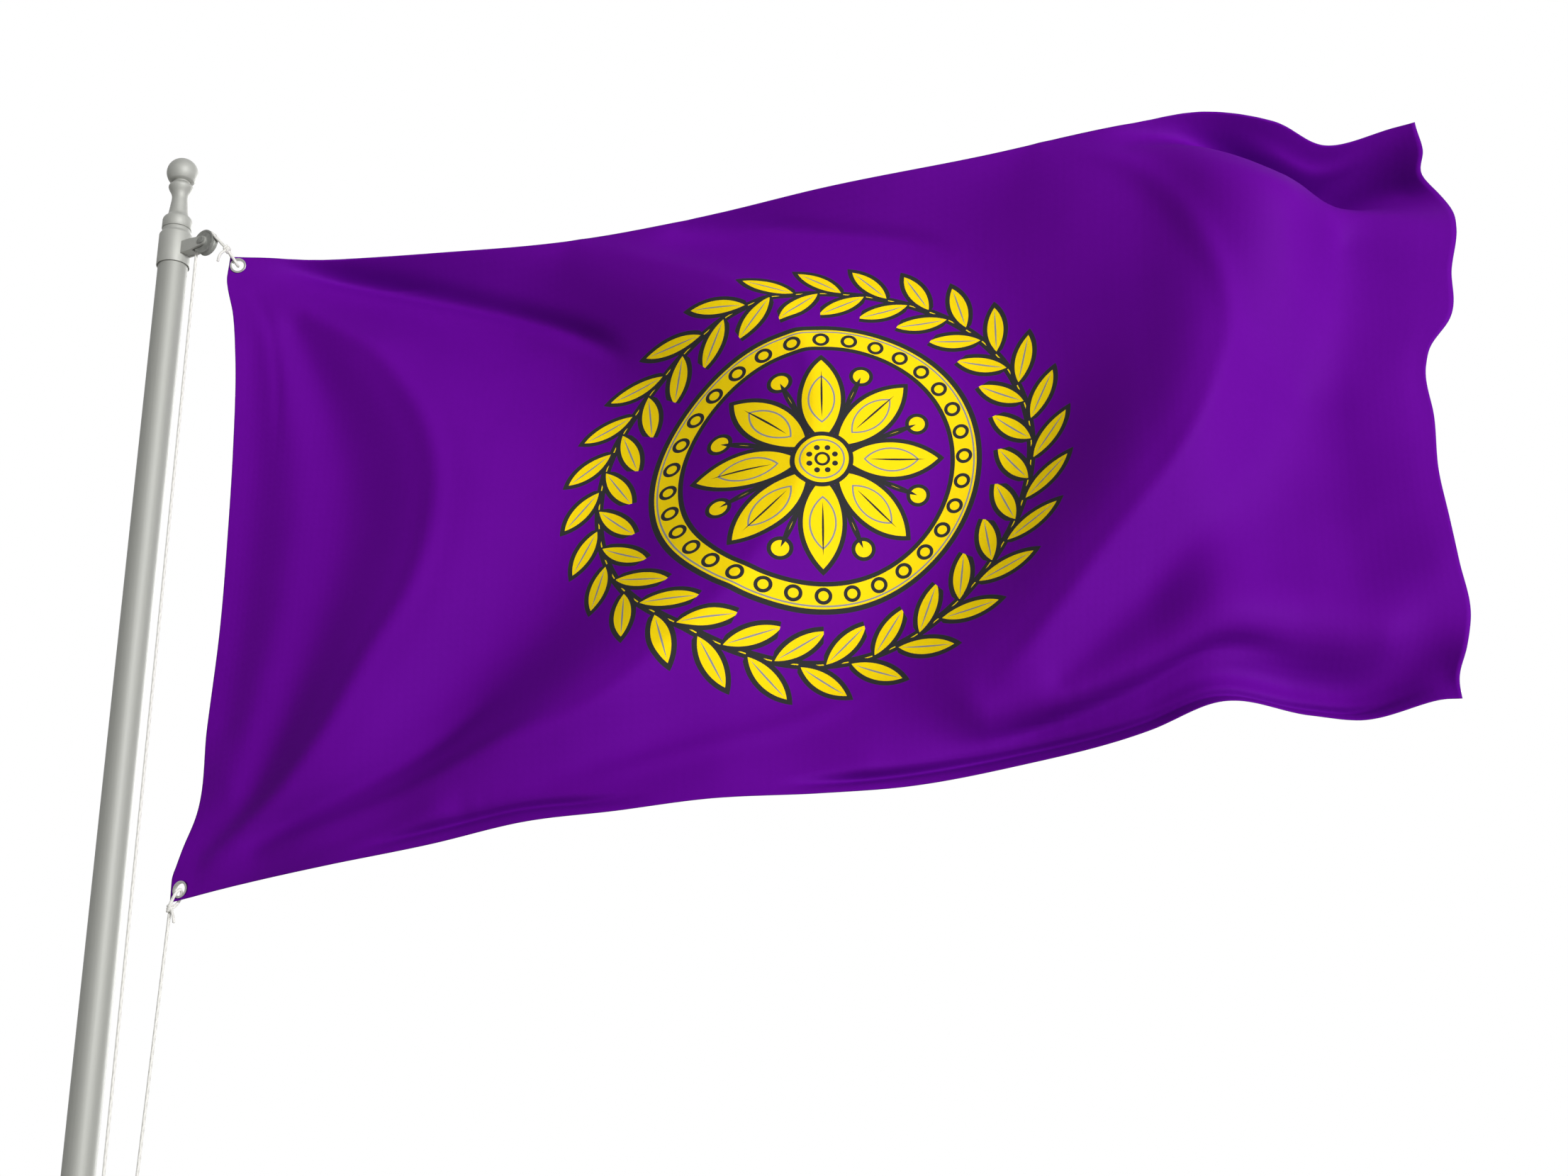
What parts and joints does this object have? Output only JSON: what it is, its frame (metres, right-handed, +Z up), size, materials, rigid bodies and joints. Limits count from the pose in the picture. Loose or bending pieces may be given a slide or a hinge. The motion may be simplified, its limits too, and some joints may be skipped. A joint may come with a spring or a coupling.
{
  "type": "church flag on flagpole",
  "caption": "Purple church flag flying from a short standing flagpole, tied by two eyelets to a rope that runs over a pulley under a ball finial",
  "frame": {"origin": "centre of the foot plate's underside, on the pole's axis", "axes": "+Z up along the pole, +X from the pole towards the flag's fly end, -Y towards the viewer"},
  "size_m": [1.7922, 0.7537, 1.7543],
  "materials": {
    "purple_cloth": "woven polyester with a soft sheen",
    "white_rope": "braided white rope",
    "pole_aluminium": "satin",
    "dark_metal": "dull, weathered",
    "eyelet_metal": "bright",
    "foot_steel": "satin grey paint"
  },
  "bodies": {
    "flagpole": {"flag": "purple_cloth", "eyelet_top": "eyelet_metal", "eyelet_bottom": "eyelet_metal", "tie_top": "white_rope", "tie_bottom": "white_rope", "halyard": "white_rope", "downhaul": "white_rope", "stopper_halyard": "white_rope", "stopper_downhaul": "white_rope", "pole": "pole_aluminium", "truck": "pole_aluminium", "finial": "pole_aluminium", "belay_arm": "pole_aluminium", "pulley_pin": "eyelet_metal", "foot": "foot_steel"},
    "pulley": {"pulley": "dark_metal"}
  },
  "joints": [
    {"name": "pulley_spin", "type": "hinge", "parent": "flagpole", "child": "pulley", "pos_m": [0.05023, -0.029, 1.6085], "axis": [0.5, 0.866, 0], "continuous": true}
  ]
}
